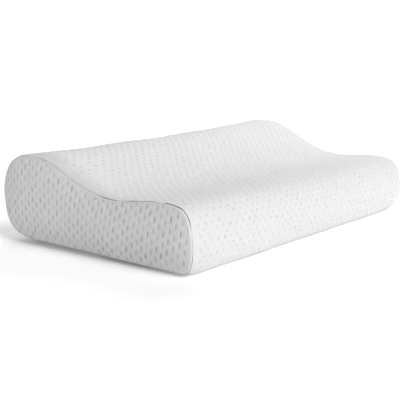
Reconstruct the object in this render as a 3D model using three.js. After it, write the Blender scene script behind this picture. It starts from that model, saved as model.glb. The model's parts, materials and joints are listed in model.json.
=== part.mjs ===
// A contour pillow: a filled block under a knitted cover, with a low front lobe, a shallow dip and a high
// back lobe. The cover is one wrap panel that runs round the block, closed by a kidney-shaped panel at each
// end. Millimetres, +X along the pillow, +Y from the low lobe to the high one, +Z up, base on z = 0.
import * as THREE from "three";

// Driving dimensions
const LENGTH = 500;
const PANEL_CROWN = 6.5; // how far the middle of an end panel stands out past its seam
const SEAM_GAP = 0.3; // between the wrap and an end panel
const PANEL_EDGE = 1.2; // thickness of an end panel at its seam
const EDGE_ROUND = 5; // width of the rounded edge of an end panel
const EDGE_RISE = 2.2; // how far that rounded edge rises
const DOME_WIDTH = 38; // distance from the seam at which an end panel is fully crowned
const TUCK_ROUND = 18; // height over which the foot of an end panel curves in to the base
const WRAP_ROLL = 24; // length over which the wrap turns in to each seam
const HALF_WIDTH = 150; // from the middle to the front or back edge
// Shares by which the filling is taller at its ends than at mid length, at its front edge and its back edge
const END_LIFT = { front: 0.02, back: 0.039 };
// Shares by which its right end is taller again, and its left end lower
const END_TILT = { front: -0.018, back: 0.0265 };

// Around the section, from the front edge of the base up the front, over the lobes and down the back.
// y and z are the outline of the wrap at mid length. drawn is how far the seam at an end lies inside that
// outline, and tucked is how far the seam lies in from the end, where it is tucked under the base.
const STATIONS = [
  { y: -131, z: 0, drawn: 1.9, tucked: 10 },
  { y: -140, z: 2.7, drawn: 3.3, tucked: 7 },
  { y: -145.8, z: 8.6, drawn: 2.8, tucked: 3 },
  { y: -150, z: 20.8, drawn: 2.5, tucked: 1 },
  { y: -151.5, z: 38.1, drawn: 3, tucked: 0 },
  { y: -149.3, z: 52.1, drawn: 3, tucked: 0 },
  { y: -144.6, z: 63.1, drawn: 1.8, tucked: 0 },
  { y: -135.6, z: 72, drawn: 1.4, tucked: 0 },
  { y: -120.9, z: 75.9, drawn: 0.9, tucked: 0 },
  { y: -102, z: 76.5, drawn: 0.5, tucked: 0 },
  { y: -76.1, z: 74.9, drawn: 1.2, tucked: 0 },
  { y: -47.9, z: 74.6, drawn: 3.7, tucked: 0 },
  { y: -21.9, z: 78.7, drawn: 7.3, tucked: 0 },
  { y: 0.7, z: 87.3, drawn: 11, tucked: 0 },
  { y: 24.6, z: 98.8, drawn: 13.6, tucked: 0 },
  { y: 45.5, z: 107.6, drawn: 12.8, tucked: 0 },
  { y: 66.2, z: 111.8, drawn: 9.5, tucked: 0 },
  { y: 85.9, z: 111, drawn: 5.5, tucked: 0 },
  { y: 102.9, z: 108.7, drawn: 2.7, tucked: 0 },
  { y: 119.6, z: 103.9, drawn: 1.4, tucked: 0 },
  { y: 133.1, z: 93.6, drawn: 2.2, tucked: 0 },
  { y: 142.1, z: 78.9, drawn: 3.3, tucked: 0 },
  { y: 146.5, z: 60.7, drawn: 4.8, tucked: 0 },
  { y: 145.9, z: 43.9, drawn: 4.8, tucked: 1 },
  { y: 141.6, z: 24.6, drawn: 3.9, tucked: 4 },
  { y: 130.6, z: 9.5, drawn: 3.4, tucked: 9 },
  { y: 114, z: 2.1, drawn: 3.3, tucked: 14 },
  { y: 96, z: 0, drawn: 3.3, tucked: 16 },
];
const STEPS_PER_STATION = 3;

// The line inside the section that the rings of an end panel close in on, as shares of the way to it
const SPINE_FRONT = { y: -95, z: 38 };
const SPINE_BACK = { y: 84, z: 56 };
const PANEL_RINGS = [0, 0.02, 0.06, 0.12, 0.22, 0.38, 0.62, 0.88];

// Rings along each half of the wrap: closer together where it turns in to its seam
const ROLL_RINGS = 6;
const HALF_SPANS = 3;

const SEAM_X = LENGTH / 2 - PANEL_CROWN;

function closedCurve(points) {
  return new THREE.CatmullRomCurve3(points.map((point) => new THREE.Vector3(...point)), true, "centripetal");
}

// A smooth closed outline through the stations, flat along the base, with the outward normal at each point
function sectionOutline() {
  const shape = closedCurve(STATIONS.map((row) => [row.y, row.z, row.drawn]));
  const tuck = closedCurve(STATIONS.map((row) => [row.y, row.z, row.tucked]));
  const count = STATIONS.length * STEPS_PER_STATION;
  const outline = [];
  for (let i = 0; i < count; i += 1) {
    const point = shape.getPoint(i / count);
    const tucked = Math.max(tuck.getPoint(i / count).z, 0);
    outline.push({ y: point.x, z: Math.max(point.y, 0), drawn: point.z, tucked });
  }
  return outline.map((point, i) => {
    const before = outline[(i + count - 1) % count];
    const after = outline[(i + 1) % count];
    const size = Math.hypot(after.y - before.y, after.z - before.z);
    return { ...point, normalY: (before.z - after.z) / size, normalZ: (after.y - before.y) / size };
  });
}

// How far a surface has turned in at a distance from its edge, as a share: a quarter of an ellipse
function turnIn(distance, reach) {
  const share = Math.max(1 - distance / reach, 0);
  return 1 - Math.sqrt(1 - share * share);
}

// The share that lies on the straight line from its front value to its back value at y
function shareAt(y, share) {
  const back = (y + HALF_WIDTH) / (2 * HALF_WIDTH);
  return share.front * (1 - back) + share.back * back;
}

// The ring of the wrap at a distance from the seam on side -1 or 1
function wrapRing(outline, side, distance) {
  const along = (side * (SEAM_X - distance)) / SEAM_X;
  const pull = turnIn(distance, WRAP_ROLL);
  const near = Math.max(1 - distance / WRAP_ROLL, 0);
  return outline.map((point) => {
    const inset = point.drawn * pull;
    const lift = 1 + shareAt(point.y, END_LIFT) * along ** 4 + shareAt(point.y, END_TILT) * along;
    const x = side * (SEAM_X - distance - point.tucked * near);
    return [x, point.y - point.normalY * inset, (point.z - point.normalZ * inset) * lift];
  });
}

// The faces that close a ring, turned so that they look along facing, which is -1 or 1 along X
function capFaces(ring, facing) {
  const flat = ring.map(([, y, z]) => new THREE.Vector2(y, z));
  return THREE.ShapeUtils.triangulateShape(flat, []).map(([a, b, c]) => {
    const ab = flat[b].clone().sub(flat[a]);
    const ac = flat[c].clone().sub(flat[a]);
    return ab.cross(ac) * facing > 0 ? [a, b, c] : [a, c, b];
  });
}

// A closed solid through rings of equal count that follow each other in +X
function loft(rings) {
  const count = rings[0].length;
  const last = (rings.length - 1) * count;
  const index = [];
  for (let i = 0; i < rings.length - 1; i += 1) {
    for (let j = 0; j < count; j += 1) {
      const here = i * count + j;
      const beside = i * count + ((j + 1) % count);
      index.push(here, here + count, beside);
      index.push(beside, here + count, beside + count);
    }
  }
  for (const face of capFaces(rings[0], -1)) {
    index.push(...face);
  }
  for (const face of capFaces(rings[rings.length - 1], 1)) {
    index.push(...face.map((corner) => corner + last));
  }
  const geometry = new THREE.BufferGeometry();
  geometry.setAttribute("position", new THREE.Float32BufferAttribute(rings.flat(2), 3));
  geometry.setIndex(index);
  geometry.computeVertexNormals();
  return geometry;
}

// The filled wrap from seam to seam
function wrapGeometry(outline) {
  const distances = [];
  for (let i = 0; i < ROLL_RINGS; i += 1) {
    const turn = (i / ROLL_RINGS) * (Math.PI / 2);
    distances.push(WRAP_ROLL * (1 - Math.cos(turn)));
  }
  for (let i = 0; i < HALF_SPANS; i += 1) {
    distances.push(WRAP_ROLL + ((SEAM_X - WRAP_ROLL) * i) / HALF_SPANS);
  }
  const left = distances.map((distance) => wrapRing(outline, -1, distance));
  const middle = wrapRing(outline, 1, SEAM_X);
  const right = distances.map((distance) => wrapRing(outline, 1, distance)).reverse();
  return loft([...left, middle, ...right]);
}

// The nearest point to a section point on the spine
function spinePoint(y, z) {
  const spanY = SPINE_BACK.y - SPINE_FRONT.y;
  const spanZ = SPINE_BACK.z - SPINE_FRONT.z;
  const along = ((y - SPINE_FRONT.y) * spanY + (z - SPINE_FRONT.z) * spanZ) / (spanY ** 2 + spanZ ** 2);
  const share = Math.min(Math.max(along, 0), 1);
  return [SPINE_FRONT.y + spanY * share, SPINE_FRONT.z + spanZ * share];
}

// How far an end panel stands out at a distance from its seam: a rounded edge, then a slow dome
function panelRise(distance) {
  const edge = EDGE_RISE * (1 - turnIn(distance, EDGE_ROUND));
  const dome = Math.max(1 - distance / DOME_WIDTH, 0);
  const domeRise = PANEL_CROWN - SEAM_GAP - PANEL_EDGE - EDGE_RISE;
  return edge + domeRise * (1 - dome * dome);
}

// A crowned end panel, 0.3 mm off the end of the wrap, at the seam on side -1 or 1
function endPanelGeometry(outline, side) {
  const rim = wrapRing(outline, side, 0);
  const rings = [rim.map(([x, y, z]) => [x + side * SEAM_GAP, y, z])];
  for (const share of PANEL_RINGS) {
    rings.push(rim.map(([, y, z], i) => {
      const [spineY, spineZ] = spinePoint(y, z);
      const distance = share * Math.hypot(y - spineY, z - spineZ);
      const out = SEAM_GAP + PANEL_EDGE + panelRise(distance);
      const tucked = outline[i].tucked * turnIn(distance, TUCK_ROUND);
      return [side * (SEAM_X + out - tucked), y + (spineY - y) * share, z + (spineZ - z) * share];
    }));
  }
  return loft(side < 0 ? rings.reverse() : rings);
}

function knitMaterial(color) {
  return new THREE.MeshStandardMaterial({ color, roughness: 0.9, metalness: 0 });
}

function piece(name, geometry, material) {
  const mesh = new THREE.Mesh(geometry, material);
  mesh.name = name;
  return mesh;
}

const outline = sectionOutline();
const pillow = new THREE.Group();
pillow.add(piece("pillow_body", wrapGeometry(outline), knitMaterial(0xf4f4f5)));
pillow.add(piece("end_panel_left", endPanelGeometry(outline, -1), knitMaterial(0xf0f0f2)));
pillow.add(piece("end_panel_right", endPanelGeometry(outline, 1), knitMaterial(0xf0f0f2)));

export default pillow;
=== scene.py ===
"""The looks of a contour pillow: a knitted wrap round the filling and a knitted panel at each end.

Metres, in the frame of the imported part: +X along the pillow, +Y from the low lobe to the high one, +Z up.
"""
import json
import logging
import math
from dataclasses import dataclass, field
from enum import Enum
from typing import NamedTuple

import bpy
import numpy as np
from mathutils import Matrix, Vector

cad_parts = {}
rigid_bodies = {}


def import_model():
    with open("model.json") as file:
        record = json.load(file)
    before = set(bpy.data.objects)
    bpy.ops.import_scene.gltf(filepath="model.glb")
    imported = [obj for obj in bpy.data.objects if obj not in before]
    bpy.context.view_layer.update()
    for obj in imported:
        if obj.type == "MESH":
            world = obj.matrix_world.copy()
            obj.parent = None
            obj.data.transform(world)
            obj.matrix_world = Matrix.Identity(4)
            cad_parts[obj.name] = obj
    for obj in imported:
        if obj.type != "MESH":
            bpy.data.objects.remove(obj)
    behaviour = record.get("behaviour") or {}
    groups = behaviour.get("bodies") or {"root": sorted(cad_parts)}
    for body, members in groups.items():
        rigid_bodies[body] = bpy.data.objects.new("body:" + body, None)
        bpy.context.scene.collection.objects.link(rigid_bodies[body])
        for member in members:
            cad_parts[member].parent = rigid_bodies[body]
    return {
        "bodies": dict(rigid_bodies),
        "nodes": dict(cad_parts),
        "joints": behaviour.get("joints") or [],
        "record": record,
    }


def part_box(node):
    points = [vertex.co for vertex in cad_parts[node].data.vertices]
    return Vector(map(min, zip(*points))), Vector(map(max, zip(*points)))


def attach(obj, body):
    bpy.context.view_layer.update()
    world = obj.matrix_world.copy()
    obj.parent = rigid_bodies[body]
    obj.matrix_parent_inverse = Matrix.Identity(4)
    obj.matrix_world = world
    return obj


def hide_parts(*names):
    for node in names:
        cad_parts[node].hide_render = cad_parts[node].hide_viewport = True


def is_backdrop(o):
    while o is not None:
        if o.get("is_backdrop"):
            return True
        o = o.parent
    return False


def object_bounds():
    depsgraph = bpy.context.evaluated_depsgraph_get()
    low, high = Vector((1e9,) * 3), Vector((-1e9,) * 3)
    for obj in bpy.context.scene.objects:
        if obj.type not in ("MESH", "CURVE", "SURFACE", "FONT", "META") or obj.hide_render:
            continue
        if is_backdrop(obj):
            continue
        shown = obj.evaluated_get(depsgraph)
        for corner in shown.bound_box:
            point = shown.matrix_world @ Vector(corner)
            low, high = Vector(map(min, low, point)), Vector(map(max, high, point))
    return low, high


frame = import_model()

Socket = bpy.types.NodeSocket
Value = float | Socket

LOG = logging.getLogger("pillow")
MM = 0.001
IMAGE_SIDE = 400
SENSOR_WIDTH = 36.0
BODY = "root"
KNIT_MAP = "knit"
CLEAR = "clear"
WHITE = (1.0, 1.0, 1.0, 1.0)
# How far the two staggered rows of dimples are shifted, in repeats
SHIFTS = (0.0, 0.5)
# Where the hidden rings that close a piece lie, as shares of the way from its lip to its middle
CLOSING = (0.0, 0.5, 1.0)


class Side(Enum):
    """An end of the pillow, with the way it faces along X."""

    LEFT = -1
    RIGHT = 1


class Station(NamedTuple):
    """A point round the section at mid length, in millimetres.

    drawn is how far the seam at an end lies inside the outline there, and tucked is how far the seam lies
    in from the end, under the base.
    """

    y: float
    z: float
    drawn: float
    tucked: float


# From the front edge of the base up the front, over the lobes and down the back: y, z, drawn, tucked
STATIONS = (
    Station(-131, 0, 1.9, 10),
    Station(-140, 2.7, 3.3, 7),
    Station(-145.8, 8.6, 2.8, 3),
    Station(-150, 20.8, 2.5, 1),
    Station(-151.5, 38.1, 3, 0),
    Station(-149.3, 52.1, 3, 0),
    Station(-144.6, 63.1, 1.8, 0),
    Station(-135.6, 72, 1.4, 0),
    Station(-120.9, 75.9, 0.9, 0),
    Station(-102, 76.5, 0.5, 0),
    Station(-76.1, 74.9, 1.2, 0),
    Station(-47.9, 74.6, 3.7, 0),
    Station(-21.9, 78.7, 7.3, 0),
    Station(0.7, 87.3, 11, 0),
    Station(24.6, 98.8, 13.6, 0),
    Station(45.5, 107.6, 12.8, 0),
    Station(66.2, 111.8, 9.5, 0),
    Station(85.9, 111, 5.5, 0),
    Station(102.9, 108.7, 2.7, 0),
    Station(119.6, 103.9, 1.4, 0),
    Station(133.1, 93.6, 2.2, 0),
    Station(142.1, 78.9, 3.3, 0),
    Station(146.5, 60.7, 4.8, 0),
    Station(145.9, 43.9, 4.8, 1),
    Station(141.6, 24.6, 3.9, 4),
    Station(130.6, 9.5, 3.4, 9),
    Station(114, 2.1, 3.3, 14),
    Station(96, 0, 3.3, 16),
)


# The ends of the line inside the section that hidden rings close in on, in y and z
SPINE_FRONT = np.array([-95.0, 38.0]) * MM
SPINE_BACK = np.array([84.0, 56.0]) * MM


def turn_in(distance: np.ndarray, reach: float | np.ndarray) -> np.ndarray:
    """How far a surface has turned in at a distance from its edge: a quarter of an ellipse.

    Args:
        distance: distances from the edge.
        reach: the distance at which the surface has stopped turning.

    Returns:
        Shares from 1 at the edge to 0 at the reach and past it.
    """
    share = np.clip(1 - distance / reach, 0, 1)
    return 1 - np.sqrt(1 - share**2)


def fade(value: np.ndarray, start: float, end: float) -> np.ndarray:
    """A smooth step: 0 at start, 1 at end, and 3 t squared less 2 t cubed between them.

    Args:
        value: where to read the step.
        start: where it leaves 0.
        end: where it reaches 1.

    Returns:
        The step at each value.
    """
    share = np.clip((value - start) / (end - start), 0, 1)
    return share * share * (3 - 2 * share)


def between(ends: tuple[float, float], share: np.ndarray) -> np.ndarray:
    """The value at a share of the straight way from the first end to the second."""
    return ends[0] * (1 - share) + ends[1] * share


@dataclass(frozen=True)
class Ripples:
    """The unevenness of soft filling: a sum of plane waves in seeded directions."""

    wavelength: float
    seed: int
    waves: int = 14
    spread: tuple[float, float] = (0.7, 1.5)

    def at(self, points: np.ndarray) -> np.ndarray:
        """The sum of sin(k . p + phase) over the waves, scaled to a spread of about one.

        Args:
            points: places, with x, y and z along the last axis.

        Returns:
            The height of the waves at each place.
        """
        rng = np.random.default_rng(self.seed)
        ways = rng.normal(size=(self.waves, 3))
        ways /= np.linalg.norm(ways, axis=1, keepdims=True)
        lengths = self.wavelength * rng.uniform(*self.spread, self.waves)
        phases = rng.uniform(0, 2 * np.pi, self.waves)
        total = np.zeros(points.shape[:-1])
        for way, length, phase in zip(ways, lengths, phases):
            total += np.sin(points @ way * (2 * np.pi / length) + phase)
        return total * math.sqrt(2 / self.waves)


@dataclass(frozen=True)
class DimpleKnit:
    """The repeat of the fabric: two staggered rows of lens-shaped dimples, the lens along the long pitch."""

    long_pitch: float = 12.1 * MM
    cross_pitch: float = 13.9 * MM
    lens_length: float = 7.0 * MM
    lens_width: float = 3.5 * MM
    depth: float = 0.45 * MM
    swell: float = 0.10 * MM

    def lens(self, along: np.ndarray, across: np.ndarray) -> np.ndarray:
        """The share of full depth: 1 less r squared, squared, where r is the radius of the nearest ellipse.

        Args:
            along: place along the long pitch, in repeats.
            across: place along the cross pitch, in repeats.

        Returns:
            1 at the middle of a dimple, 0 outside its ellipse.
        """
        deepest = np.zeros(np.broadcast(along, across).shape)
        for shift in SHIFTS:
            off_along = along + shift - np.round(along + shift)
            off_across = across + shift - np.round(across + shift)
            radius = (off_along * 2 * self.long_pitch / self.lens_length) ** 2
            radius = radius + (off_across * 2 * self.cross_pitch / self.lens_width) ** 2
            deepest = np.maximum(deepest, np.clip(1 - radius, 0, 1) ** 2)
        return deepest

    def relief(self, along: np.ndarray, across: np.ndarray) -> np.ndarray:
        """The cloth's height: down by the depth in a dimple, and up by the swell between the dimples, as
        -cos(2 pi u) cos(2 pi v).

        Args:
            along: place along the long pitch, in repeats.
            across: place along the cross pitch, in repeats.

        Returns:
            Heights off the plain surface.
        """
        rib = np.cos(2 * np.pi * along) * np.cos(2 * np.pi * across)
        return -self.depth * self.lens(along, across) - self.swell * rib


WRAP_KNIT = DimpleKnit()
PANEL_KNIT = DimpleKnit(
    long_pitch=12.2 * MM, cross_pitch=13.4 * MM, lens_length=9.2 * MM, lens_width=3.2 * MM, depth=0.5 * MM
)


class NodeBoard:
    """Adds the nodes of one material or world and joins them up."""

    def __init__(self, tree: bpy.types.NodeTree) -> None:
        """Takes the node tree to add to."""
        self.tree = tree

    def add(self, kind: str, **settings: str) -> bpy.types.Node:
        """A new node.

        Args:
            kind: the node's type name.
            settings: attributes of the node to set.

        Returns:
            The node.
        """
        node = self.tree.nodes.new(kind)
        for name, value in settings.items():
            setattr(node, name, value)
        return node

    def join(self, source: Socket, target: Socket) -> None:
        """Links an output to an input."""
        self.tree.links.new(source, target)

    def feed(self, value: Value, target: Socket) -> None:
        """Gives an input a number or a link, whichever the value is.

        Args:
            value: a number or an output.
            target: the input.
        """
        if isinstance(value, Socket):
            self.join(value, target)
        else:
            target.default_value = value

    def math(self, operation: str, *values: Value) -> Socket:
        """The result of a Math node.

        Args:
            operation: the operation's name.
            values: a number or an output for each of its inputs.

        Returns:
            The node's output.
        """
        node = self.add("ShaderNodeMath", operation=operation)
        for value, target in zip(values, node.inputs):
            self.feed(value, target)
        return node.outputs[0]

    def weigh(self, *parts: tuple[Value, float]) -> Socket:
        """The sum of some values, each times its share.

        Args:
            parts: pairs of a value and its share.

        Returns:
            The output of the sum.
        """
        values = [self.math("MULTIPLY", value, share) for value, share in parts]
        result = values[0]
        for value in values[1:]:
            result = self.math("ADD", result, value)
        return result

    def wave(self, place: Value, count: int = 1) -> Socket:
        """The cosine of a place in repeats, with count waves to a repeat."""
        return self.math("COSINE", self.math("MULTIPLY", place, 2 * math.pi * count))

    def split(self, place: Socket) -> tuple[Socket, ...]:
        """Takes a place apart.

        Args:
            place: the output that gives it.

        Returns:
            The outputs for its X, Y and Z.
        """
        node = self.add("ShaderNodeSeparateXYZ")
        self.join(place, node.inputs[0])
        return tuple(node.outputs)

    def smooth(self, value: Socket, start: float, end: float, height: float = 1.0) -> Socket:
        """A smooth step, 0 at start and its height at end, with start below end or above it.

        Args:
            value: the output that it reads.
            start: where it leaves 0.
            end: where it reaches its height.
            height: its height.

        Returns:
            The step's output.
        """
        node = self.add("ShaderNodeMapRange", interpolation_type="SMOOTHSTEP")
        self.join(value, node.inputs["Value"])
        node.inputs["From Min"].default_value = start
        node.inputs["From Max"].default_value = end
        node.inputs["To Max"].default_value = height
        return node.outputs["Result"]

    def noise(self, place: Socket, scale: float, detail: float) -> Socket:
        """Noise from 0 to 1.

        Args:
            place: the coordinates it reads.
            scale: repeats to a metre.
            detail: octaves.

        Returns:
            The value output.
        """
        node = self.add("ShaderNodeTexNoise")
        self.join(place, node.inputs["Vector"])
        node.inputs["Scale"].default_value = scale
        node.inputs["Detail"].default_value = detail
        return node.outputs[0]


@dataclass(frozen=True)
class KnitFinish:
    """The white knitted jacquard, dressed from the piece's own map, which counts repeats of the pattern.

    A shade is the share of the tone that it takes away. The foot and rim shades are painted shade, the
    swell shade is painted shade in the low cloth and painted light on the swells, and the dimple shade is
    partly the knit's own tone and partly painted shade in the hollows. The heights of dimples, stitches and
    fibre are millimetres of bump.
    """

    name: str
    knit: DimpleKnit = WRAP_KNIT
    tone: float = 0.785
    # the dimples' darker colour: partly the knit's own tone, partly painted shade in the hollows
    dimple_shade: float = 0.05
    # painted shade in the low cloth between the swells, and painted light on the swells
    painted_swell_shade: float = 0.014
    column_shade: float = 0.035
    stitch_shade: float = 0.035
    cloud_shade: float = 0.03
    # painted shade: how much darker the colour grows towards the floor
    painted_foot_shade: float = 0.0
    # painted shade: how much darker the colour is along the rim, by the seam
    painted_rim_shade: float = 0.0
    dimple_height: float = 0.55
    stitch_height: float = 0.10
    fibre_height: float = 0.12
    dimple_edge: tuple[float, float] = (1.2, 0.1)
    dimple_least: float = 0.35
    dimple_chance: float = 0.8
    wales: float = 13.0
    courses: float = 13.0
    stitch_lean: float = 1.1
    ridge_share: float = 0.6
    drift_share: float = 0.4
    drift_scales: tuple[float, float] = (55.0, 62.0)
    drift_detail: float = 1.0
    cloud_scale: float = 28.0
    fibre_scale: float = 900.0
    noise_detail: float = 2.0
    foot_height: float = 45 * MM
    roughness: float = 0.9
    roughness_spread: float = 0.08
    specular: float = 0.25
    sheen: float = 0.18
    sheen_roughness: float = 0.5

    def material(self) -> bpy.types.Material:
        """The finish as a material.

        Returns:
            The material, made on its first use and found by its name after that.
        """
        found = bpy.data.materials.get(self.name)
        if found is not None:
            return found
        made = bpy.data.materials.new(self.name)
        made.use_nodes = True
        made.node_tree.nodes.clear()
        self.lay_nodes(NodeBoard(made.node_tree))
        return made

    def dimples(self, board: NodeBoard, along: Socket, across: Socket, shift: float) -> Socket:
        """The mask of one row of dimples: a smooth step of the squared radius of the nearest ellipse, times
        a strength that chance makes a little different from dimple to dimple.

        Args:
            board: where the nodes go.
            along: place along the long pitch, in repeats.
            across: place along the cross pitch, in repeats.
            shift: the row's shift, in repeats.

        Returns:
            The mask's output.
        """
        squares = []
        cells = []
        reaches = (
            self.knit.long_pitch / self.knit.lens_length,
            self.knit.cross_pitch / self.knit.lens_width,
        )
        for place, reach in zip((along, across), reaches):
            moved = board.math("ADD", place, shift)
            cell = board.math("ROUND", moved)
            off = board.math("MULTIPLY", board.math("SUBTRACT", moved, cell), 2 * reach)
            squares.append(board.math("MULTIPLY", off, off))
            cells.append(cell)
        mask = board.smooth(board.math("ADD", *squares), *self.dimple_edge)
        number = board.add("ShaderNodeCombineXYZ")
        for value, target in zip((*cells, shift), number.inputs):
            board.feed(value, target)
        chance = board.add("ShaderNodeTexWhiteNoise", noise_dimensions="3D")
        board.join(number.outputs[0], chance.inputs["Vector"])
        strength = board.math(
            "MULTIPLY_ADD", chance.outputs["Value"], self.dimple_chance, self.dimple_least
        )
        return board.math("MULTIPLY", mask, strength)

    def stitches(self, board: NodeBoard, along: Socket, across: Socket) -> Socket:
        """Rows of V-shaped stitches: a cosine of the course number, which leans away from the middle of a
        wale, times a sine that rises from the middle of the wale.

        Args:
            board: where the nodes go.
            along: place along the long pitch, in repeats, which is along the wales.
            across: place along the cross pitch, in repeats.

        Returns:
            An output from 0 in the gaps to 1 on the yarn.
        """
        wale = board.math("FRACT", board.math("MULTIPLY", across, self.wales))
        arm = board.math("ABSOLUTE", board.math("SUBTRACT", wale, 0.5))
        lean = board.math("MULTIPLY", arm, -self.stitch_lean)
        course = board.math("MULTIPLY_ADD", along, self.courses, lean)
        loop = board.math("MULTIPLY_ADD", board.wave(course), 0.5, 0.5)
        rise = board.math("SINE", board.math("MULTIPLY", arm, 2 * math.pi))
        ridge = board.math("MULTIPLY_ADD", rise, self.ridge_share, 1 - self.ridge_share)
        return board.math("MULTIPLY", ridge, loop)

    def drift(self, board: NodeBoard, repeats: Socket, place: Socket, scale: float) -> Socket:
        """Repeats that wander a little, since knitted cloth never lies quite even: plus noise about zero."""
        wander = board.math("SUBTRACT", board.noise(place, scale, self.drift_detail), 0.5)
        return board.math("MULTIPLY_ADD", wander, self.drift_share, repeats)

    def rib(self, board: NodeBoard, along: Socket, across: Socket) -> Socket:
        """The swell between the dimples, from -1 on the ribs to 1 in the dimples."""
        return board.math("MULTIPLY", board.wave(along), board.wave(across))

    def columns(self, board: NodeBoard, along: Socket) -> Socket:
        """The streaks across the lenses: from 1 where the dimples lie to 0 half way between them."""
        return board.math("MULTIPLY_ADD", board.wave(along, 2), 0.5, 0.5)

    def foot(self, board: NodeBoard, place: Socket) -> Socket:
        """How near the base a place is: a smooth step from 0 at the foot's height to 1 at the floor."""
        return board.smooth(board.split(place)[2], self.foot_height, 0.0)

    def lay_nodes(self, board: NodeBoard) -> None:
        """Joins pattern, stitches, cloudiness and painted shade to the colour, roughness and bump of the
        shader.

        Args:
            board: where the nodes go.
        """
        repeats = board.split(board.add("ShaderNodeUVMap", uv_map=KNIT_MAP).outputs["UV"])
        place = board.add("ShaderNodeTexCoord").outputs["Object"]
        along = self.drift(board, repeats[0], place, self.drift_scales[0])
        across = self.drift(board, repeats[1], place, self.drift_scales[1])
        rows = [self.dimples(board, along, across, shift) for shift in SHIFTS]
        clear = board.add("ShaderNodeAttribute", attribute_name=CLEAR).outputs["Fac"]
        dimple = board.math("MULTIPLY", board.math("MAXIMUM", *rows), clear)
        stitch = self.stitches(board, along, across)
        cloud = board.noise(place, self.cloud_scale, self.noise_detail)
        dark = board.weigh(
            # partly the knit's own tone, partly painted shade in the hollows
            (dimple, self.dimple_shade),
            # painted shade in the low cloth, painted light on the swells
            (board.math("MULTIPLY", self.rib(board, along, across), clear), self.painted_swell_shade),
            (self.columns(board, along), self.column_shade),
            (board.math("SUBTRACT", 1.0, stitch), self.stitch_shade),
            (cloud, self.cloud_shade),
            # painted shade, darker towards the floor
            (self.foot(board, place), self.painted_foot_shade),
            # painted shade along the rim by the seam
            (board.math("SUBTRACT", 1.0, clear), self.painted_rim_shade),
        )
        height = board.weigh(
            (dimple, -self.dimple_height),
            (stitch, self.stitch_height),
            (board.noise(place, self.fibre_scale, self.noise_detail), self.fibre_height),
        )
        tone = board.math("MULTIPLY", board.math("SUBTRACT", 1.0, dark), self.tone)
        colour = board.add("ShaderNodeCombineColor")
        for channel in ("Red", "Green", "Blue"):
            board.join(tone, colour.inputs[channel])
        smoothest = self.roughness - self.roughness_spread / 2
        rough = board.math("MULTIPLY_ADD", cloud, self.roughness_spread, smoothest)
        bump = board.add("ShaderNodeBump")
        bump.inputs["Strength"].default_value = 1.0
        bump.inputs["Distance"].default_value = MM
        board.join(height, bump.inputs["Height"])
        shader = board.add("ShaderNodeBsdfPrincipled")
        board.join(colour.outputs[0], shader.inputs["Base Color"])
        board.join(rough, shader.inputs["Roughness"])
        board.join(bump.outputs[0], shader.inputs["Normal"])
        shader.inputs["Specular IOR Level"].default_value = self.specular
        shader.inputs["Sheen Weight"].default_value = self.sheen
        shader.inputs["Sheen Roughness"].default_value = self.sheen_roughness
        output = board.add("ShaderNodeOutputMaterial")
        board.join(shader.outputs[0], output.inputs["Surface"])


WRAP_FINISH = KnitFinish("knit_wrap_cloth")
PANEL_FINISH = KnitFinish(
    "knit_end_cloth",
    tone=0.79,
    column_shade=0.0,
    # partly the knit's own tone, partly painted shade in the hollows
    dimple_shade=0.25,
    dimple_height=0.4,
    drift_share=0.22,
    # painted shade towards the floor
    painted_foot_shade=0.15,
    # painted shade along the rim by the seam
    painted_rim_shade=0.05,
    knit=PANEL_KNIT,
)


class Outline(NamedTuple):
    """Points round the section at mid length, each with its outward normal and its seam's place."""

    y: np.ndarray
    z: np.ndarray
    normal_y: np.ndarray
    normal_z: np.ndarray
    drawn: np.ndarray
    tucked: np.ndarray


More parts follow.
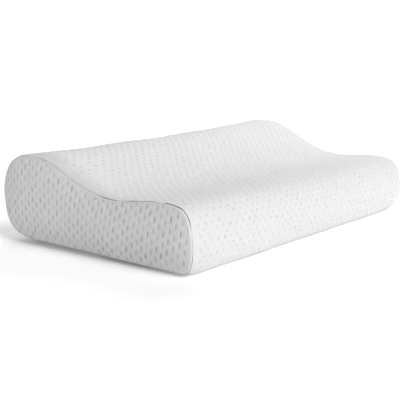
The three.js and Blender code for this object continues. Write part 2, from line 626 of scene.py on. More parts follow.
@dataclass
class Section:
    """The smooth closed section of the filling, read by arc length from the front edge of the base."""

    stations: tuple[Station, ...] = STATIONS
    steps: int = 48
    samples: int = 2048
    softness: float = 2.5 * MM
    arcs: np.ndarray = field(init=False)
    columns: np.ndarray = field(init=False)
    perimeter: float = field(init=False)

    def __post_init__(self) -> None:
        """Samples the curve at equal steps of arc length and softens it along itself."""
        curve = self.curve()
        closed = np.vstack([curve, curve[:1]])
        lengths = np.linalg.norm(np.diff(closed[:, :2], axis=0), axis=1)
        arcs = np.concatenate([[0.0], np.cumsum(lengths)])
        self.perimeter = float(arcs[-1])
        self.arcs = np.linspace(0, self.perimeter, self.samples, endpoint=False)
        even = np.stack([np.interp(self.arcs, arcs, closed[:, i]) for i in range(4)], axis=1)
        self.columns = self.soften(even)

    def curve(self) -> np.ndarray:
        """A closed centripetal Catmull-Rom curve through the stations: on each span a cubic in t that meets
        its neighbours with the slope of the three points round each station, spaced by the root of their
        distance.

        Returns:
            Rows of y, z, drawn and tucked, in metres.
        """
        points = np.array(self.stations, float) * MM
        before, after, beyond = (np.roll(points, shift, axis=0) for shift in (1, -1, -2))

        def root(a: np.ndarray, b: np.ndarray) -> np.ndarray:
            """The root of the distance from a to b in y, z and drawn."""
            return np.sqrt(np.linalg.norm((b - a)[:, :3], axis=1))[:, None]

        first, span, last = root(before, points), root(points, after), root(after, beyond)
        leave = (points - before) / first - (after - before) / (first + span) + (after - points) / span
        arrive = (after - points) / span - (beyond - points) / (span + last) + (beyond - after) / last
        t = (np.arange(self.steps) / self.steps)[None, :, None]
        start, end = points[:, None], after[:, None]
        leave, arrive = (leave * span)[:, None], (arrive * span)[:, None]
        curve = (2 * t**3 - 3 * t**2 + 1) * start + (t**3 - 2 * t**2 + t) * leave
        curve = curve + (3 * t**2 - 2 * t**3) * end + (t**3 - t**2) * arrive
        curve = curve.reshape(-1, 4)
        curve[:, 1] = np.maximum(curve[:, 1], 0)
        curve[:, 3] = np.maximum(curve[:, 3], 0)
        return curve

    def soften(self, even: np.ndarray) -> np.ndarray:
        """Blurs the closed curve along itself: each wave of it is scaled by exp(-2 (pi f s) squared).

        Args:
            even: rows of the curve at equal steps of arc length.

        Returns:
            The same rows, blurred.
        """
        waves = np.fft.rfftfreq(self.samples, self.perimeter / self.samples)
        scale = np.exp(-2 * (np.pi * waves * self.softness) ** 2)[:, None]
        return np.fft.irfft(np.fft.rfft(even, axis=0) * scale, self.samples, axis=0)

    def at(self, arc: np.ndarray) -> Outline:
        """The outline at some arc lengths.

        Args:
            arc: arc lengths from the front edge of the base, in metres.

        Returns:
            The points, with the outward normal (-z', y') over its length, since the curve runs clockwise.
        """
        def read(column: np.ndarray) -> np.ndarray:
            """The column at the arc lengths, as a closed curve."""
            return np.interp(arc, self.arcs, column, period=self.perimeter)

        y, z, drawn, tucked = (read(self.columns[:, i]) for i in range(4))
        step = 2 * self.perimeter / self.samples
        slope_y = (np.roll(self.columns[:, 0], -1) - np.roll(self.columns[:, 0], 1)) / step
        slope_z = (np.roll(self.columns[:, 1], -1) - np.roll(self.columns[:, 1], 1)) / step
        slope_y, slope_z = read(slope_y), read(slope_z)
        size = np.hypot(slope_y, slope_z)
        return Outline(y, np.maximum(z, 0), -slope_z / size, slope_y / size, drawn, np.maximum(tucked, 0))


def flip(faces: np.ndarray, turned: bool) -> np.ndarray:
    """Faces with their corners in the other order if turned."""
    return faces[:, ::-1] if turned else faces


def grid_faces(numbers: np.ndarray) -> np.ndarray:
    """Quads over a grid of vertex numbers.

    Args:
        numbers: vertex numbers, one row after another.

    Returns:
        Rows of four numbers, turning from a row to the next one.
    """
    corners = (numbers[:-1, :-1], numbers[1:, :-1], numbers[1:, 1:], numbers[:-1, 1:])
    return np.stack([corner.ravel() for corner in corners], axis=1)


def looped(grid: np.ndarray) -> np.ndarray:
    """A grid with its first column again at the end."""
    return np.concatenate([grid, grid[:, :1]], axis=1)


@dataclass
class Shell:
    """A closed mesh in the making: vertices, quads and the knit's place at each corner of each quad.

    Each vertex also has a share that tells how clear of a seam it is, which fades the pattern there and sets
    the painted shade along a panel's rim.
    """

    points: list[np.ndarray] = field(default_factory=list)
    clear: list[np.ndarray] = field(default_factory=list)
    quads: list[np.ndarray] = field(default_factory=list)
    places: list[np.ndarray] = field(default_factory=list)
    count: int = 0

    def add_points(self, points: np.ndarray, clear: float | np.ndarray = 0.0) -> np.ndarray:
        """Adds a grid of points.

        Args:
            points: places, with x, y and z along the last axis.
            clear: how clear of a seam each of them is, from 0 to 1.

        Returns:
            Their numbers, in the same layout.
        """
        shape = points.shape[:-1]
        numbers = np.arange(self.count, self.count + math.prod(shape)).reshape(shape)
        self.points.append(points.reshape(-1, 3))
        self.clear.append(np.broadcast_to(clear, shape).ravel())
        self.count += math.prod(shape)
        return numbers

    def add_quads(self, numbers: np.ndarray, place: np.ndarray, turned: bool) -> None:
        """Adds the quads over a grid.

        Args:
            numbers: vertex numbers of the grid.
            place: the knit's place at each of them, in repeats.
            turned: whether the quads face the other way.
        """
        flat = place.reshape(-1, 2)
        slots = np.arange(len(flat)).reshape(numbers.shape)
        self.quads.append(flip(grid_faces(numbers), turned))
        self.places.append(flat[flip(grid_faces(slots), turned)])

    def close(
        self, lip: np.ndarray, middle: np.ndarray, numbers: np.ndarray, place: np.ndarray, turned: bool
    ) -> None:
        """Closes a ring, out of sight, by rings that go straight in from a lip to its middle.

        Args:
            lip: the first hidden ring.
            middle: where each of its points ends up.
            numbers: vertex numbers of the ring to close, the first again at the end.
            place: the knit's place at them.
            turned: whether the quads face the other way.
        """
        grid = [numbers]
        for share in CLOSING:
            made = self.add_points(lip + (middle - lip) * share)
            grid.append(np.append(made, made[0]))
        self.add_quads(np.stack(grid), np.stack([place] * len(grid)), turned)

    def build(self, name: str) -> bpy.types.Object:
        """Makes the object, smooth shaded, with the knit's place as its UV map.

        Args:
            name: the object's name.

        Returns:
            The object, in the scene's collection.
        """
        points = np.concatenate(self.points)
        quads = np.concatenate(self.quads)
        places = np.concatenate(self.places)
        mesh = bpy.data.meshes.new(name)
        mesh.vertices.add(len(points))
        mesh.vertices.foreach_set("co", points.astype(np.float32).ravel())
        mesh.loops.add(quads.size)
        mesh.loops.foreach_set("vertex_index", quads.astype(np.int32).ravel())
        mesh.polygons.add(len(quads))
        mesh.polygons.foreach_set("loop_start", np.arange(0, quads.size, 4, dtype=np.int32))
        mesh.polygons.foreach_set("use_smooth", np.ones(len(quads), bool))
        mesh.update(calc_edges=True)
        layer = mesh.uv_layers.new(name=KNIT_MAP)
        layer.data.foreach_set("uv", places.astype(np.float32).ravel())
        clear = mesh.attributes.new(CLEAR, "FLOAT", "POINT")
        clear.data.foreach_set("value", np.concatenate(self.clear).astype(np.float32))
        mesh.validate()
        made = bpy.data.objects.new(name, mesh)
        bpy.context.scene.collection.objects.link(made)
        return made


@dataclass
class Wrap:
    """The filled wrap: the section carried along X, drawn in and tucked at each seam, dimpled all over."""

    seam_x: float
    section: Section
    knit: DimpleKnit = WRAP_KNIT
    roll: float = 24 * MM
    high_roll: float = 17 * MM
    upward: tuple[float, float] = (0.3, 0.8)
    half_width: float = 150 * MM
    end_lift: tuple[float, float] = (0.02, 0.039)
    end_tilt: tuple[float, float] = (-0.018, 0.0265)
    rows_to_repeat: int = 8
    stops_to_repeat: int = 6
    edge_stops: tuple[float, ...] = (0.0, 0.1 * MM, 0.35 * MM, 0.8 * MM, 1.4 * MM, 2.2 * MM)
    base_step: float = 7 * MM
    base_clear: float = 0.4 * MM
    base_fade: tuple[float, float] = (0.5 * MM, 6 * MM)
    seam_reach: float = 2.4 * MM
    seam_drop: tuple[float, float] = (0.1 * MM, 0.05 * MM)
    high_from: tuple[float, float] = (-40 * MM, -2 * MM)
    plain_reach: float = 12 * MM
    cap_depth: float = 3.0 * MM
    lip: float = 2.5 * MM
    sag: float = 0.5 * MM
    waves: Ripples = Ripples(95 * MM, seed=3)
    wave_fade: tuple[float, float] = (2 * MM, 50 * MM)
    pucker: float = 0.35 * MM
    folds: Ripples = Ripples(19 * MM, seed=8)
    fold_stretch: tuple[float, float, float] = (0.2, 1.0, 1.0)
    fold_reach: float = 12 * MM
    phase_along: float = -0.208
    phase_across: float = -0.333

    def law(self, outline: Outline, distance: np.ndarray, side: np.ndarray) -> np.ndarray:
        """The plain surface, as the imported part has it: the outline drawn in along its normal by a quarter
        of an ellipse near a seam, moved in along X where it is tucked, lifted by the fourth power of its
        place along X and tilted by the first, by shares that run straight from the front edge to the back
        edge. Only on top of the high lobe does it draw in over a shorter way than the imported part.

        Args:
            outline: the section's points, broadcast against distance.
            distance: distances from the seam on that side.
            side: -1 or 1.

        Returns:
            Points, with x, y and z along the last axis.
        """
        along = side * (self.seam_x - distance) / self.seam_x
        back = (outline.y + self.half_width) / (2 * self.half_width)
        lift = 1 + between(self.end_lift, back) * along**4 + between(self.end_tilt, back) * along
        top = fade(outline.y, *self.high_from) * fade(outline.normal_z, *self.upward)
        inset = outline.drawn * turn_in(distance, between((self.roll, self.high_roll), top))
        near = np.clip(1 - distance / self.roll, 0, 1)
        x = side * (self.seam_x - distance - outline.tucked * near)
        y = outline.y - outline.normal_y * inset
        z = (outline.z - outline.normal_z * inset) * lift
        return np.stack(np.broadcast_arrays(x, y, z), axis=-1)

    def rows(self) -> np.ndarray:
        """The rows of the mesh: close ones where the cloth shows, and wide ones under the base.

        Returns:
            Arc lengths from the front edge of the base.
        """
        step = self.knit.cross_pitch / self.rows_to_repeat
        landing = self.section.arcs[self.section.columns[:, 1] > self.base_clear][-1]
        shown = np.arange(0, landing, step)
        spans = round((self.section.perimeter - shown[-1]) / self.base_step)
        hidden = np.linspace(shown[-1], self.section.perimeter, spans + 1)[1:-1]
        return np.concatenate([shown, hidden])

    def place(self, stop: np.ndarray, arc: np.ndarray) -> np.ndarray:
        """The knit's place on a grid, with the lens along X.

        Args:
            stop: places along X, one for each row of the grid.
            arc: arc lengths, one for each column.

        Returns:
            Places along the long and the cross pitch, in repeats, along the last axis.
        """
        along = stop / self.knit.long_pitch + self.phase_along
        across = arc / self.knit.cross_pitch + self.phase_across
        return np.stack(np.meshgrid(along, across, indexing="ij"), axis=-1)

    def plain(self, distance: np.ndarray) -> np.ndarray:
        """How clear the pattern shows at a distance from the seam: pulled flat at the seam itself."""
        return fade(distance, self.seam_reach, self.plain_reach)

    def stops(self) -> np.ndarray:
        """The columns of the mesh: even ones, and closer ones where the wrap turns in to its seams.

        Returns:
            Places along X.
        """
        step = self.knit.long_pitch / self.stops_to_repeat
        reach = math.floor((self.seam_x - self.seam_reach) / step)
        even = np.arange(-reach, reach + 1) * step
        edge = self.seam_x - np.array(self.edge_stops)
        return np.concatenate([-edge, even, edge[::-1]])

    def surface(
        self, stop: np.ndarray, arc: np.ndarray
    ) -> tuple[Outline, np.ndarray, np.ndarray, np.ndarray]:
        """The plain surface on a grid.

        Args:
            stop: places along X, one for each row of the grid.
            arc: arc lengths, one for each column.

        Returns:
            The outline, the distances from the nearer seam, the points and the outward normals.
        """
        outline = self.section.at(arc[None, :])
        side = np.where(stop < 0, -1.0, 1.0)[:, None]
        distance = self.seam_x - np.abs(stop)[:, None]
        points = self.law(outline, distance, side)
        normal = np.stack(np.broadcast_arrays(0.0, outline.normal_y, outline.normal_z), axis=-1)
        return outline, distance, points, normal

    def mesh(self, pressed: np.ndarray) -> bpy.types.Object:
        """Builds the wrap as one closed shell, its open ends closed behind the end panels.

        Args:
            pressed: how far the filling presses it out at each stop and row.

        Returns:
            The object.
        """
        arc, stop = self.rows(), self.stops()
        outline, distance, points, normal = self.surface(stop, arc)
        height = self.relief(points, outline, distance, stop, arc) + pressed
        points = points + normal * height[..., None]
        points[..., 2] = np.maximum(points[..., 2], 0)

        shell = Shell()
        numbers = looped(shell.add_points(points, self.plain(distance)))
        place = self.place(stop, np.append(arc, self.section.perimeter))
        shell.add_quads(numbers, place, turned=False)
        for end, side in ((0, Side.LEFT), (-1, Side.RIGHT)):
            inward = [-side.value * self.cap_depth, 0, 0]
            lip = points[end] - normal[0] * self.lip + inward
            middle = spine_of(points[end]) + inward
            shell.close(lip, middle, numbers[end], place[end], turned=side is Side.LEFT)
        return shell.build("wrap_cover")

    def relief(
        self, points: np.ndarray, outline: Outline, distance: np.ndarray, stop: np.ndarray, arc: np.ndarray
    ) -> np.ndarray:
        """How far the cloth stands off the plain surface: long waves of the filling, puckers that die away
        from the seam as exp(-d / reach), the seam's own turn, and the dimples.

        Args:
            points: the plain surface.
            outline: the section's points.
            distance: distances from the nearer seam.
            stop: places along X.
            arc: arc lengths of the rows.

        Returns:
            Heights along the outward normal.
        """
        clear = fade(points[..., 2], *self.base_fade)
        waves = self.sag * self.waves.at(points) * fade(distance, *self.wave_fade)
        folds = self.pucker * self.folds.at(points * self.fold_stretch)
        folds = folds * np.exp(-distance / self.fold_reach)
        drop = between(self.seam_drop, fade(outline.y, *self.high_from))
        seam = -drop * turn_in(distance, self.seam_reach)
        knit = self.knit.relief(*np.moveaxis(self.place(stop, arc), -1, 0))
        dimples = knit * self.plain(distance)
        return (waves + folds + dimples) * clear + seam


@dataclass
class Filling:
    """How the filling presses the wrap out, by a short cloth simulation with pressure inside and no gravity.

    It runs on a coarse copy of the wrap, held at its seams and its base. The section is that of the pillow
    as filled, so the dense wrap takes over how the copy moved less how it moved at mid length.
    """

    wrap: Wrap
    columns: int = 72
    rows: int = 112
    pressure: float = 4.0
    frames: int = 20
    cap: float = 1.0 * MM
    share: float = 0.3
    middle_share: float = 0.5
    vertex_kg: float = 0.02
    stretch_stiffness: float = 60.0
    shear_stiffness: float = 30.0
    bend_stiffness: float = 8.0
    quality: int = 5
    held_reach: float = 6 * MM
    held_base: float = 3 * MM
    grain: float = 0.01 * MM
    stops: np.ndarray = field(init=False)
    arcs: np.ndarray = field(init=False)
    moved: np.ndarray = field(init=False)

    def __post_init__(self) -> None:
        """Lays out the grid and runs the simulation."""
        self.stops = np.linspace(-self.wrap.seam_x, self.wrap.seam_x, self.columns)
        self.arcs = np.linspace(0, self.wrap.section.perimeter, self.rows, endpoint=False)
        self.moved = np.zeros((self.columns, self.rows))
        self.moved = self.press()

    def press(self) -> np.ndarray:
        """Simulates the coarse copy, which is open at its held ends.

        Returns:
            How much further than at mid length each of its points moved along its normal, eased to at most
            the cap.
        """
        _, distance, points, normal = self.wrap.surface(self.stops, self.arcs)
        shell = Shell()
        numbers = shell.add_points(points)
        closed = looped(numbers)
        shell.add_quads(closed, np.zeros((*closed.shape, 2)), turned=False)
        copy = shell.build("filling_copy")
        free = (distance > self.held_reach) & (points[..., 2] > self.held_base)
        held = np.ones(shell.count, bool)
        held[numbers[free]] = False
        group = copy.vertex_groups.new(name="held")
        group.add(np.nonzero(held)[0].tolist(), 1.0, "REPLACE")
        self.simulate(copy, group.name)
        after = np.empty(shell.count * 3, np.float32)
        graph = bpy.context.evaluated_depsgraph_get()
        copy.evaluated_get(graph).data.vertices.foreach_get("co", after)
        after = after.reshape(-1, 3)[numbers]
        bpy.context.scene.frame_set(1)
        mesh = copy.data
        bpy.data.objects.remove(copy)
        bpy.data.meshes.remove(mesh)
        height = ((after - points) * normal).sum(axis=-1)
        LOG.info("filling: moved %.2f to %.2f mm", height.min() / MM, height.max() / MM)
        middle = np.abs(self.stops) < self.middle_share * self.wrap.seam_x
        further = height - height[middle].mean(axis=0)
        eased = self.cap * np.tanh(self.share * further / self.cap)
        return np.round(eased / self.grain) * self.grain

    def simulate(self, copy: bpy.types.Object, held: str) -> None:
        """Runs the cloth simulation on the copy, one frame after another.

        Args:
            copy: the mesh that is pressed.
            held: the name of the vertex group that holds it.
        """
        cloth = copy.modifiers.new("cloth", "CLOTH")
        settings = cloth.settings
        settings.quality = self.quality
        settings.mass = self.vertex_kg
        settings.tension_stiffness = self.stretch_stiffness
        settings.compression_stiffness = self.stretch_stiffness
        settings.shear_stiffness = self.shear_stiffness
        settings.bending_stiffness = self.bend_stiffness
        settings.vertex_group_mass = held
        settings.use_pressure = True
        settings.uniform_pressure_force = self.pressure
        settings.effector_weights.gravity = 0.0
        cloth.point_cache.frame_start = 1
        cloth.point_cache.frame_end = self.frames
        for frame in range(1, self.frames + 1):
            bpy.context.scene.frame_set(frame)

    def heights(self, stop: np.ndarray, arc: np.ndarray) -> np.ndarray:
        """The heights at the dense wrap's points, straight between the coarse ones.

        Args:
            stop: places along X.
            arc: arc lengths.

        Returns:
            Heights along the outward normal, a row for each stop.
        """
        lines = np.stack([
            np.interp(arc, self.arcs, row, period=self.wrap.section.perimeter) for row in self.moved
        ])
        reach = (stop + self.wrap.seam_x) / (2 * self.wrap.seam_x) * (self.columns - 1)
        low = np.clip(np.floor(reach).astype(int), 0, self.columns - 2)
        part = (reach - low)[:, None]
        return lines[low] * (1 - part) + lines[low + 1] * part


def spine_of(points: np.ndarray) -> np.ndarray:
    """The nearest place on the section's spine to each point, at the point's own X.

    Args:
        points: places, with x, y and z along the last axis.

    Returns:
        The places on the spine.
    """
    span = SPINE_BACK - SPINE_FRONT
    share = np.clip((points[..., 1:] - SPINE_FRONT) @ span / (span @ span), 0, 1)
    spine = SPINE_FRONT + share[..., None] * span
    return np.concatenate([points[..., :1], spine], axis=-1)


@dataclass
class EndPanel:
    """A kidney-shaped end panel: a rolled edge against the seam, then a slow dome, its foot curved under."""

    side: Side
    wrap: Wrap
    crown: float
    seam_gap: tuple[float, float] = (0.3 * MM, 0.06 * MM)
    edge: tuple[float, float] = (1.2 * MM, 0.25 * MM)
    bead_rise: tuple[float, float] = (0.7 * MM, 0.5 * MM)
    front_rise: float = 0.8 * MM
    front_from: tuple[float, float] = (0.0, 0.55)
    bead_width: tuple[float, float] = (2.2 * MM, 6 * MM)
    seam_step: tuple[float, float] = (1.05 * MM, 0.0)
    back_width: tuple[float, float] = (0.9 * MM, 0.2 * MM)
    dome_width: float = 38 * MM
    foot: float = 18 * MM
    plain_reach: tuple[float, float] = (0.8 * MM, 6 * MM)
    knit: DimpleKnit = PANEL_KNIT
    phase_along: float = 0.0575
    phase_across: float = -0.41
    row_tilt: float = 0.0213
    column_spread: float = 0.27
    spread_from: float = 25 * MM
    lean_back: float = 0.05
    lean_front: float = 0.18
    lean_from: float = 50 * MM
    lean_fade: tuple[float, float] = (-90 * MM, 20 * MM)
    row_fall: float = 0.5
    fall_from: float = 40 * MM
    shoulders: tuple[float, float, float, float] = (10 * MM, 100 * MM, 375 * MM, 480 * MM)
    rim_spans: tuple[int, int] = (260, 84)
    bead_steps: int = 8
    back_steps: int = 3
    lip: float = 3 * MM
    sag: float = 0.35 * MM
    wavelength: float = 60 * MM
    seed: int = 21
    wave_fade: tuple[float, float] = (2 * MM, 25 * MM)

    def rim(self) -> tuple[np.ndarray, Outline]:
        """The seam, at the arc lengths that suit the grid of the face.

        Returns:
            The seam's points and the outline that they come from.
        """
        arcs = self.arcs()
        outline = self.wrap.section.at(arcs)
        side = np.full(len(arcs), float(self.side.value))
        return self.wrap.law(outline, np.zeros(len(arcs)), side), outline

    def arcs(self) -> np.ndarray:
        """Arc lengths round the rim, so that the grid's corners fall on the four rounded shoulders.

        Returns:
            The arc lengths, even between two corners.
        """
        long_span, short_span = self.rim_spans
        corners = np.array([*self.shoulders, self.wrap.section.perimeter + self.shoulders[0]])
        spans = (short_span, long_span, short_span, long_span)
        parts = [
            np.linspace(start, end, span, endpoint=False)
            for start, end, span in zip(corners[:-1], corners[1:], spans)
        ]
        return np.concatenate(parts)

    def dome(self, inward: np.ndarray, rise: np.ndarray) -> np.ndarray:
        """What the slow dome adds to a rise at a distance from the seam: the way that is left to the crown,
        times 1 less the square of what is left of the dome's width.
        """
        left = 1 - np.clip(inward / self.dome_width, 0, 1)
        return (self.crown - rise) * (1 - left**2)

    def place(self, y: np.ndarray, z: np.ndarray) -> np.ndarray:
        """The knit's place on the panel, the lens upright: towards the low lobe the columns lean over by a
        share of their height and the rows fall away as a parabola; the columns spread as a parabola too.

        Args:
            y: places along Y.
            z: places along Z.

        Returns:
            Places along the long and the cross pitch, in repeats, along the last axis.
        """
        lean = self.lean_back - self.lean_front * fade(-y, *self.lean_fade)
        lean = lean * (z - self.lean_from)
        fall = self.row_fall * np.maximum(self.fall_from - y, 0) ** 2 + self.row_tilt * y
        spread = self.column_spread * (y - self.spread_from) ** 2
        along = (z + fall) / self.knit.long_pitch + self.phase_along
        across = (y - lean + spread) / self.knit.cross_pitch + self.phase_across
        return np.stack([along, across], axis=-1)

    def face(
        self, y: np.ndarray, z: np.ndarray, inward: np.ndarray, tucked: np.ndarray, rise: np.ndarray
    ) -> np.ndarray:
        """Points of the outer face: rise out from the seam, plus the dome, less the tuck at the foot.

        Args:
            y: places along Y.
            z: places along Z.
            inward: distances in from the seam.
            tucked: how far the nearest seam is tucked.
            rise: heights of the edge and bead there.

        Returns:
            Points, with x, y and z along the last axis.
        """
        knit = self.knit.relief(*np.moveaxis(self.place(y, z), -1, 0))
        flat = np.stack([np.zeros_like(y), y, z], axis=-1)
        ripples = Ripples(self.wavelength, seed=self.seed + self.side.value)
        waves = self.sag * ripples.at(flat) * fade(inward, *self.wave_fade)
        relief = waves + knit * self.plain(inward)
        foot = tucked * turn_in(np.maximum(inward, 0), self.foot)
        out = rise + self.dome(inward, rise) + relief - foot
        return np.stack([self.side.value * (self.wrap.seam_x + out), y, z], axis=-1)

    def mesh(self) -> bpy.types.Object:
        """Builds the panel as one closed shell: rolled edge, a grid that spans the face, and back.

        Returns:
            The object.
        """
        rim, outline = self.rim()
        normal = np.stack([outline.normal_y, outline.normal_z], axis=-1)
        turned = self.side is Side.LEFT
        shell = Shell()
        inward, rise = self.bead(outline)
        yz = rim[None, :, 1:] - normal * inward[..., None]
        points = self.face(yz[..., 0], yz[..., 1], inward, outline.tucked, rise)
        numbers = looped(shell.add_points(points, self.plain(inward)))
        place = looped(self.place(yz[..., 0], yz[..., 1]))
        shell.add_quads(numbers, place, turned)
        self.span_face(shell, yz[-1], numbers[-1], rim, outline, turned)
        x = self.side.value * (self.wrap.seam_x + self.gap_at(outline) - outline.tucked)
        lip = np.column_stack([x, rim[:, 1:] - normal * self.lip])
        shell.close(lip, spine_of(lip), numbers[0], place[0], not turned)
        return shell.build(f"end_cover_{self.side.name.lower()}")

    def plain(self, inward: np.ndarray) -> np.ndarray:
        """How clear the pattern shows at a distance in from the seam."""
        return fade(inward, *self.plain_reach)

    def edge_at(self, outline: Outline) -> np.ndarray:
        """How far the panel stands off the seam's plane at its very edge: least along the high lobe."""
        return self.gap_at(outline) + between(self.edge, self.high(outline))

    def gap_at(self, outline: Outline) -> np.ndarray:
        """How wide the seam's groove is: widest where the panel's edge isn't level, tight elsewhere."""
        return between(self.seam_gap, self.level(outline))

    def level(self, outline: Outline) -> np.ndarray:
        """How far the panel's edge is level with the wrap's: 0 over and under the low lobe, 1 elsewhere."""
        return np.maximum(self.high(outline), self.front(outline))

    def front(self, outline: Outline) -> np.ndarray:
        """How far a point of the rim is down the front, from 0 to 1."""
        return fade(-outline.normal_y, *self.front_from)

    def edge_rise(self, outline: Outline) -> np.ndarray:
        """How far the rolled edge rises over that: most down the front, least along the high lobe."""
        return between(self.bead_rise, self.high(outline)) + self.front_rise * self.front(outline)

    def high(self, outline: Outline) -> np.ndarray:
        """How far a point of the rim is on the high lobe, from 0 to 1."""
        return fade(outline.y, *self.wrap.high_from)

    def bead(self, outline: Outline) -> tuple[np.ndarray, np.ndarray]:
        """The rolled edge: a small quarter of an ellipse out of the seam, then a wider one over to the face.
        It starts a step inside the wrap's edge where it isn't level with it, and is softest along the high
        lobe.

        Args:
            outline: the section's points at the rim.

        Returns:
            Distances in from the seam, and rises, for each step of the profile at each point of the rim.
        """
        back = np.linspace(-1, 0, self.back_steps, endpoint=False)
        turn = np.concatenate([back, np.linspace(0, 1, self.bead_steps + 1)])[:, None]
        high = self.high(outline)
        width = np.where(turn < 0, between(self.back_width, high), between(self.bead_width, high))
        height = np.where(turn < 0, between(self.edge, high), self.edge_rise(outline))
        step = between(self.seam_step, self.level(outline))
        inward = width * (1 - np.cos(turn * math.pi / 2)) + step
        return inward, self.edge_at(outline) + height * np.sin(turn * math.pi / 2)

    def edges(self, around: np.ndarray) -> tuple[np.ndarray, ...]:
        """The front, top, back and base edges of the face, each in the way that its grid runs.

        Args:
            around: values round the bead's last ring, the first again at the end.

        Returns:
            The values on each edge, from the base up or from the front to the back.
        """
        long_span, short_span = self.rim_spans
        cuts = np.cumsum([0, short_span, long_span, short_span, long_span])
        front, top, back, base = (around[start:end + 1] for start, end in zip(cuts[:-1], cuts[1:]))
        return front, top, back[::-1], base[::-1]

    def span_face(
        self,
        shell: Shell,
        inner: np.ndarray,
        ring: np.ndarray,
        rim: np.ndarray,
        outline: Outline,
        turned: bool,
    ) -> None:
        """Spans the face by a Coons patch: the blend of its two long edges, plus the blend of its two short
        ones, less the blend of its four corners.

        Args:
            shell: the mesh in the making.
            inner: the bead's last ring, in y and z.
            ring: its vertex numbers, the first again at the end.
            rim: the seam's points.
            outline: the section's points at the rim.
            turned: whether the faces are turned round.
        """
        front, top, back, base = self.edges(np.vstack([inner, inner[:1]]))
        u = np.linspace(0, 1, len(top))[:, None, None]
        v = np.linspace(0, 1, len(front))[None, :, None]
        patch = (1 - v) * base[:, None] + v * top[:, None]
        patch = patch + (1 - u) * front[None] + u * back[None]
        low = (1 - u) * front[0] + u * back[0]
        high = (1 - u) * front[-1] + u * back[-1]
        patch = patch - (1 - v) * low - v * high
        inside = patch[1:-1, 1:-1]
        distance, nearest = nearest_on(rim[:, 1:], inside.reshape(-1, 2))
        distance = distance.reshape(inside.shape[:2])
        nearest = nearest.reshape(distance.shape)
        rise = (self.edge_at(outline) + self.edge_rise(outline))[nearest]
        points = self.face(inside[..., 0], inside[..., 1], distance, outline.tucked[nearest], rise)

        numbers = np.zeros(patch.shape[:2], int)
        numbers[0, :], numbers[:, -1], numbers[-1, :], numbers[:, 0] = self.edges(ring)
        numbers[1:-1, 1:-1] = shell.add_points(points, self.plain(distance))
        shell.add_quads(numbers, self.place(patch[..., 0], patch[..., 1]), turned)


def nearest_on(loop: np.ndarray, points: np.ndarray) -> tuple[np.ndarray, np.ndarray]:
    """How far each point is from a closed loop of straight pieces.

    Args:
        loop: the loop's corners.
        points: the points to measure.

    Returns:
        The distances, and the number of the corner nearest to each point.
    """
    reach = (points**2).sum(axis=1)[:, None] + (loop**2).sum(axis=1) - 2 * points @ loop.T
    nearest = np.argmin(reach, axis=1)
    best = np.full(len(points), np.inf)
    for number in (nearest - 1, nearest):
        corner = loop[number]
        way = loop[(number + 1) % len(loop)] - corner
        offset = points - corner
        share = np.clip((offset * way).sum(axis=1) / (way * way).sum(axis=1), 0, 1)
        best = np.minimum(best, np.linalg.norm(offset - share[:, None] * way, axis=1))
    return best, nearest


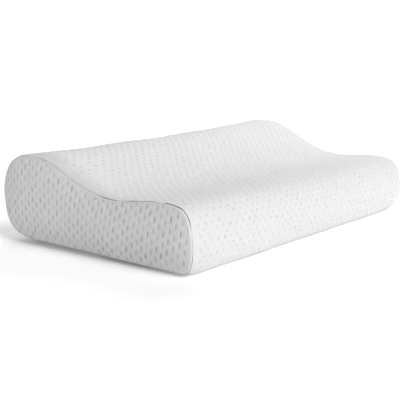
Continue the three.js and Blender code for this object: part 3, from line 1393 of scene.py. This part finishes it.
@dataclass(frozen=True)
class Studio:
    """A white floor that glows a little with painted light, an even white surround, two lights and the
    camera.
    """

    floor_reach: float = 40.0
    floor_tone: float = 0.95
    # painted light: how much the floor glows at each distance in glow_reach from the rectangle round the
    # pillow
    painted_floor_glow: tuple[float, float, float] = (0.10, 0.23, 0.335)
    glow_reach: tuple[float, float, float] = (0.0, 0.1, 0.45)
    # the rectangle round the pillow, in x and y, past which the floor's painted glow grows
    dark_middle: tuple[float, float] = (0.0, 0.02)
    dark_half: tuple[float, float] = (0.205, 0.07)
    surround: float = 0.226
    backdrop: float = 1.05
    key_way: tuple[float, float, float] = (-0.12, -0.61, 0.53)
    key_far: float = 3.0
    key_strength: float = 2.33
    key_width_deg: float = 40.0
    side_place: tuple[float, float, float] = (0.8, 0.4, 0.7)
    side_size: float = 0.9
    side_watts: float = 7.4
    focal_px: float = 920.0
    eye: tuple[float, float, float] = (-0.9736, -0.714, 0.2613)
    yaw_deg: float = 37.337
    pitch_deg: float = 10.785
    roll_deg: float = 0.496

    def floor(self) -> None:
        """A wide flat floor at z = 0, which isn't part of the object. It glows a little with painted light,
        which grows by two smooth steps of the distance from the rectangle that the pillow stands on.
        """
        reach = self.floor_reach
        mesh = bpy.data.meshes.new("floor")
        corners = [(-reach, -reach, 0), (reach, -reach, 0), (reach, reach, 0), (-reach, reach, 0)]
        mesh.from_pydata(corners, [], [(0, 1, 2, 3)])
        floor = bpy.data.objects.new("floor", mesh)
        bpy.context.scene.collection.objects.link(floor)
        material = bpy.data.materials.new("pale_floor")
        material.use_nodes = True
        shader = material.node_tree.nodes["Principled BSDF"]
        shader.inputs["Base Color"].default_value = (self.floor_tone,) * 3 + (1.0,)
        shader.inputs["Roughness"].default_value = 1.0
        shader.inputs["Specular IOR Level"].default_value = 0.0
        shader.inputs["Emission Color"].default_value = WHITE
        board = NodeBoard(material.node_tree)
        place = board.split(board.add("ShaderNodeTexCoord").outputs["Object"])
        squares = []
        for axis, middle, half in zip(place, self.dark_middle, self.dark_half):
            off = board.math("ABSOLUTE", board.math("SUBTRACT", axis, middle))
            past = board.math("MAXIMUM", board.math("SUBTRACT", off, half), 0.0)
            squares.append(board.math("MULTIPLY", past, past))
        distance = board.math("SQRT", board.math("ADD", *squares))
        glow = self.painted_floor_glow[0]
        for step in (0, 1):
            more = self.painted_floor_glow[step + 1] - self.painted_floor_glow[step]
            rise = board.smooth(distance, self.glow_reach[step], self.glow_reach[step + 1], more)
            glow = board.math("ADD", glow, rise)
        board.join(glow, shader.inputs["Emission Strength"])
        mesh.materials.append(material)
        floor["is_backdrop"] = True

    def world(self) -> None:
        """An even surround that lights the pillow softly and shows as plain white."""
        world = bpy.data.worlds.new("studio")
        world.use_nodes = True
        world.node_tree.nodes.clear()
        board = NodeBoard(world.node_tree)
        seen = board.add("ShaderNodeLightPath").outputs["Is Camera Ray"]
        strength = board.math("MULTIPLY_ADD", seen, self.backdrop - self.surround, self.surround)
        background = board.add("ShaderNodeBackground")
        board.join(strength, background.inputs["Strength"])
        background.inputs["Color"].default_value = WHITE
        output = board.add("ShaderNodeOutputWorld")
        board.join(background.outputs[0], output.inputs["Surface"])
        bpy.context.scene.world = world

    def hang(self, lamp: bpy.types.Light, place: Vector) -> None:
        """Hangs a light at a place, turned to the pillow.

        Args:
            lamp: the light.
            place: where it hangs.
        """
        light = bpy.data.objects.new(lamp.name, lamp)
        light.location = place
        light.rotation_mode = "QUATERNION"
        light.rotation_quaternion = place.to_track_quat("Z", "Y")
        bpy.context.scene.collection.objects.link(light)

    def key(self) -> None:
        """A wide soft light from the front and above."""
        lamp = bpy.data.lights.new("key", "SUN")
        lamp.energy = self.key_strength
        lamp.angle = math.radians(self.key_width_deg)
        self.hang(lamp, Vector(self.key_way) * self.key_far)

    def side(self) -> None:
        """A square soft light off the far end, which brightens the crest towards it."""
        lamp = bpy.data.lights.new("side", "AREA")
        lamp.energy = self.side_watts
        lamp.size = self.side_size
        self.hang(lamp, Vector(self.side_place))

    def camera(self) -> None:
        """The camera, by its eye, yaw from +X towards +Y, pitch below the horizon and roll."""
        lens = bpy.data.cameras.new("camera")
        lens.sensor_width = SENSOR_WIDTH
        lens.lens = self.focal_px / IMAGE_SIDE * SENSOR_WIDTH
        lens.clip_end = 2 * self.floor_reach
        camera = bpy.data.objects.new("camera", lens)
        yaw = Matrix.Rotation(math.radians(self.yaw_deg - 90), 4, "Z")
        pitch = Matrix.Rotation(math.radians(90 - self.pitch_deg), 4, "X")
        roll = Matrix.Rotation(math.radians(self.roll_deg), 4, "Z")
        camera.matrix_world = Matrix.Translation(self.eye) @ yaw @ pitch @ roll
        bpy.context.scene.collection.objects.link(camera)
        bpy.context.scene.camera = camera

    def build(self) -> None:
        """Sets up the whole stage."""
        self.camera()
        self.floor()
        self.world()
        self.key()
        self.side()
        bpy.context.scene.view_settings.view_transform = "Standard"


def dress(piece: bpy.types.Object, node: str, finish: KnitFinish) -> None:
    """Gives a piece its finish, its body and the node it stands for.

    Args:
        piece: the finished mesh.
        node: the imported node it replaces.
        finish: its knit.
    """
    piece.data.materials.append(finish.material())
    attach(piece, BODY)
    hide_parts(node)
    LOG.info("%s stands for %s: %d faces", piece.name, node, len(piece.data.polygons))


def corners(box: tuple[Vector, Vector]) -> list[list[float]]:
    """A box's lowest and highest corners as plain lists."""
    return [list(corner) for corner in box]


def main() -> None:
    """Builds the stage and the three pieces."""
    logging.basicConfig(level=logging.INFO, format="%(name)s: %(message)s")
    cad_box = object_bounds()
    Studio().build()
    seam_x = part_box("pillow_body")[1].x
    wrap = Wrap(seam_x=seam_x, section=Section())
    pressed = Filling(wrap).heights(wrap.stops(), wrap.rows())
    dress(wrap.mesh(pressed), "pillow_body", WRAP_FINISH)
    for side in Side:
        panel = EndPanel(side=side, wrap=wrap, crown=cad_box[1].x - seam_x)
        node = f"end_panel_{side.name.lower()}"
        dress(panel.mesh(), node, PANEL_FINISH)


if __name__ == "__main__":
    main()
